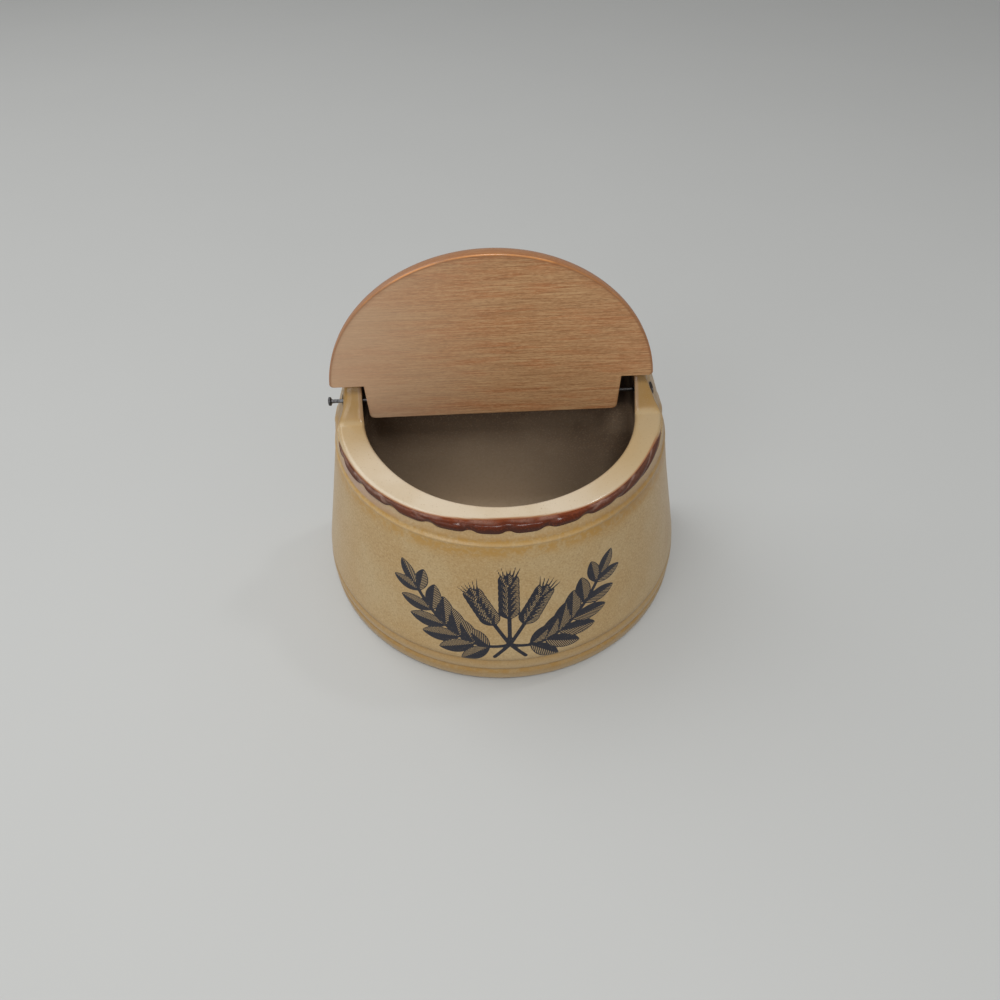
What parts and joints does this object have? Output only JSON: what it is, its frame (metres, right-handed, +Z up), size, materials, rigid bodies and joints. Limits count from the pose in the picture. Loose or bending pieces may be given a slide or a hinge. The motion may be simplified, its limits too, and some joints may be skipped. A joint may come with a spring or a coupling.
{
  "type": "salt box",
  "caption": "Round-fronted, flat-backed stoneware salt box with a crimped band under the rim and a wooden half-moon lid that swings up on nails.",
  "frame": {"origin": "on the flat underside, below the middle of the round front", "axes": "+Z up, front faces -Y, flat back faces +Y, +X to the right seen from the front"},
  "size_m": [0.1418, 0.0861, 0.1351],
  "materials": {
    "stoneware": "satin honey glaze over stoneware",
    "brown_glaze": "glossy brown glaze",
    "lid_wood": "bare underside, varnished top and edge",
    "nail_steel": "bright drawn wire"
  },
  "bodies": {
    "crock": {"crock_body": "stoneware", "crimped_band": "brown_glaze"},
    "hinge_nails": {"left_hinge_nail": "nail_steel", "right_hinge_nail": "nail_steel"},
    "lid": {"lid_board": "lid_wood"}
  },
  "joints": [
    {"name": "lid_side_slide", "type": "slide", "parent": "crock", "child": "hinge_nails", "axis": [1, 0, 0], "range_m": [-0.0014, 0.0052]},
    {"name": "lid_hinge", "type": "hinge", "parent": "hinge_nails", "child": "lid", "pos_m": [-0.0019, -0.0004, 0.07675], "axis": [-1, 0, 0], "range_deg": [-85, 11]}
  ]
}
